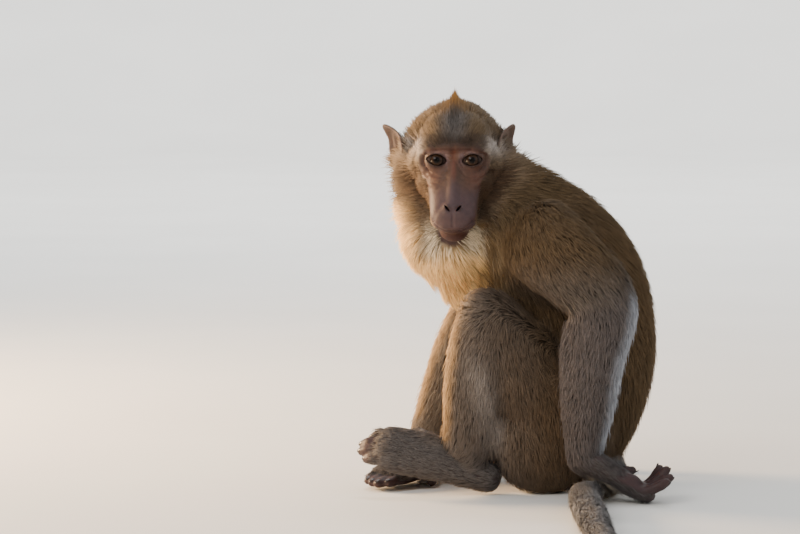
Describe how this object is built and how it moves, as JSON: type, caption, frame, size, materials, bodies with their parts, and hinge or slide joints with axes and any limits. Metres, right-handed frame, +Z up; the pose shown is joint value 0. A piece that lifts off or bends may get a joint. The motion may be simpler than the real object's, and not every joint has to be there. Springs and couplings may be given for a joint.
{
  "type": "seated macaque monkey model",
  "caption": "Seated long-tailed macaque with its head turned over its left shoulder, a hand behind it and its tail laid along the floor, as a still life-size model.",
  "frame": {"origin": "the floor point under the middle of the belly, where the trunk sits", "axes": "+Z up, -X the way the body faces, -Y the animal's left side and the way its face looks"},
  "size_m": [0.2805, 0.6234, 0.3556],
  "materials": {
    "coat_brown": "golden-brown agouti hair of the head, neck, back and upper arms",
    "coat_grey": "grey-brown hair of the limbs and tail",
    "bare_skin": "dark bare skin of the hands, feet, ears and seat pads",
    "eye": "wet, glossy dark brown eye"
  },
  "bodies": {
    "root": {"head": "coat_brown", "neck": "coat_brown", "trunk": "coat_brown", "ear_left": "bare_skin", "ear_right": "bare_skin", "eye_left": "eye", "eye_right": "eye", "upper_arm_left": "coat_brown", "upper_arm_right": "coat_brown", "forearm_left": "coat_grey", "forearm_right": "coat_grey", "hand_left": "bare_skin", "hand_right": "bare_skin", "thigh_left": "coat_grey", "thigh_right": "coat_grey", "shin_left": "coat_grey", "shin_right": "coat_grey", "foot_left": "bare_skin", "foot_right": "bare_skin", "tail_1": "coat_grey", "tail_2": "coat_grey", "tail_3": "coat_grey", "tail_4": "coat_grey", "tail_5": "coat_grey", "seat_pad_left": "bare_skin", "seat_pad_right": "bare_skin"}
  },
  "joints": []
}
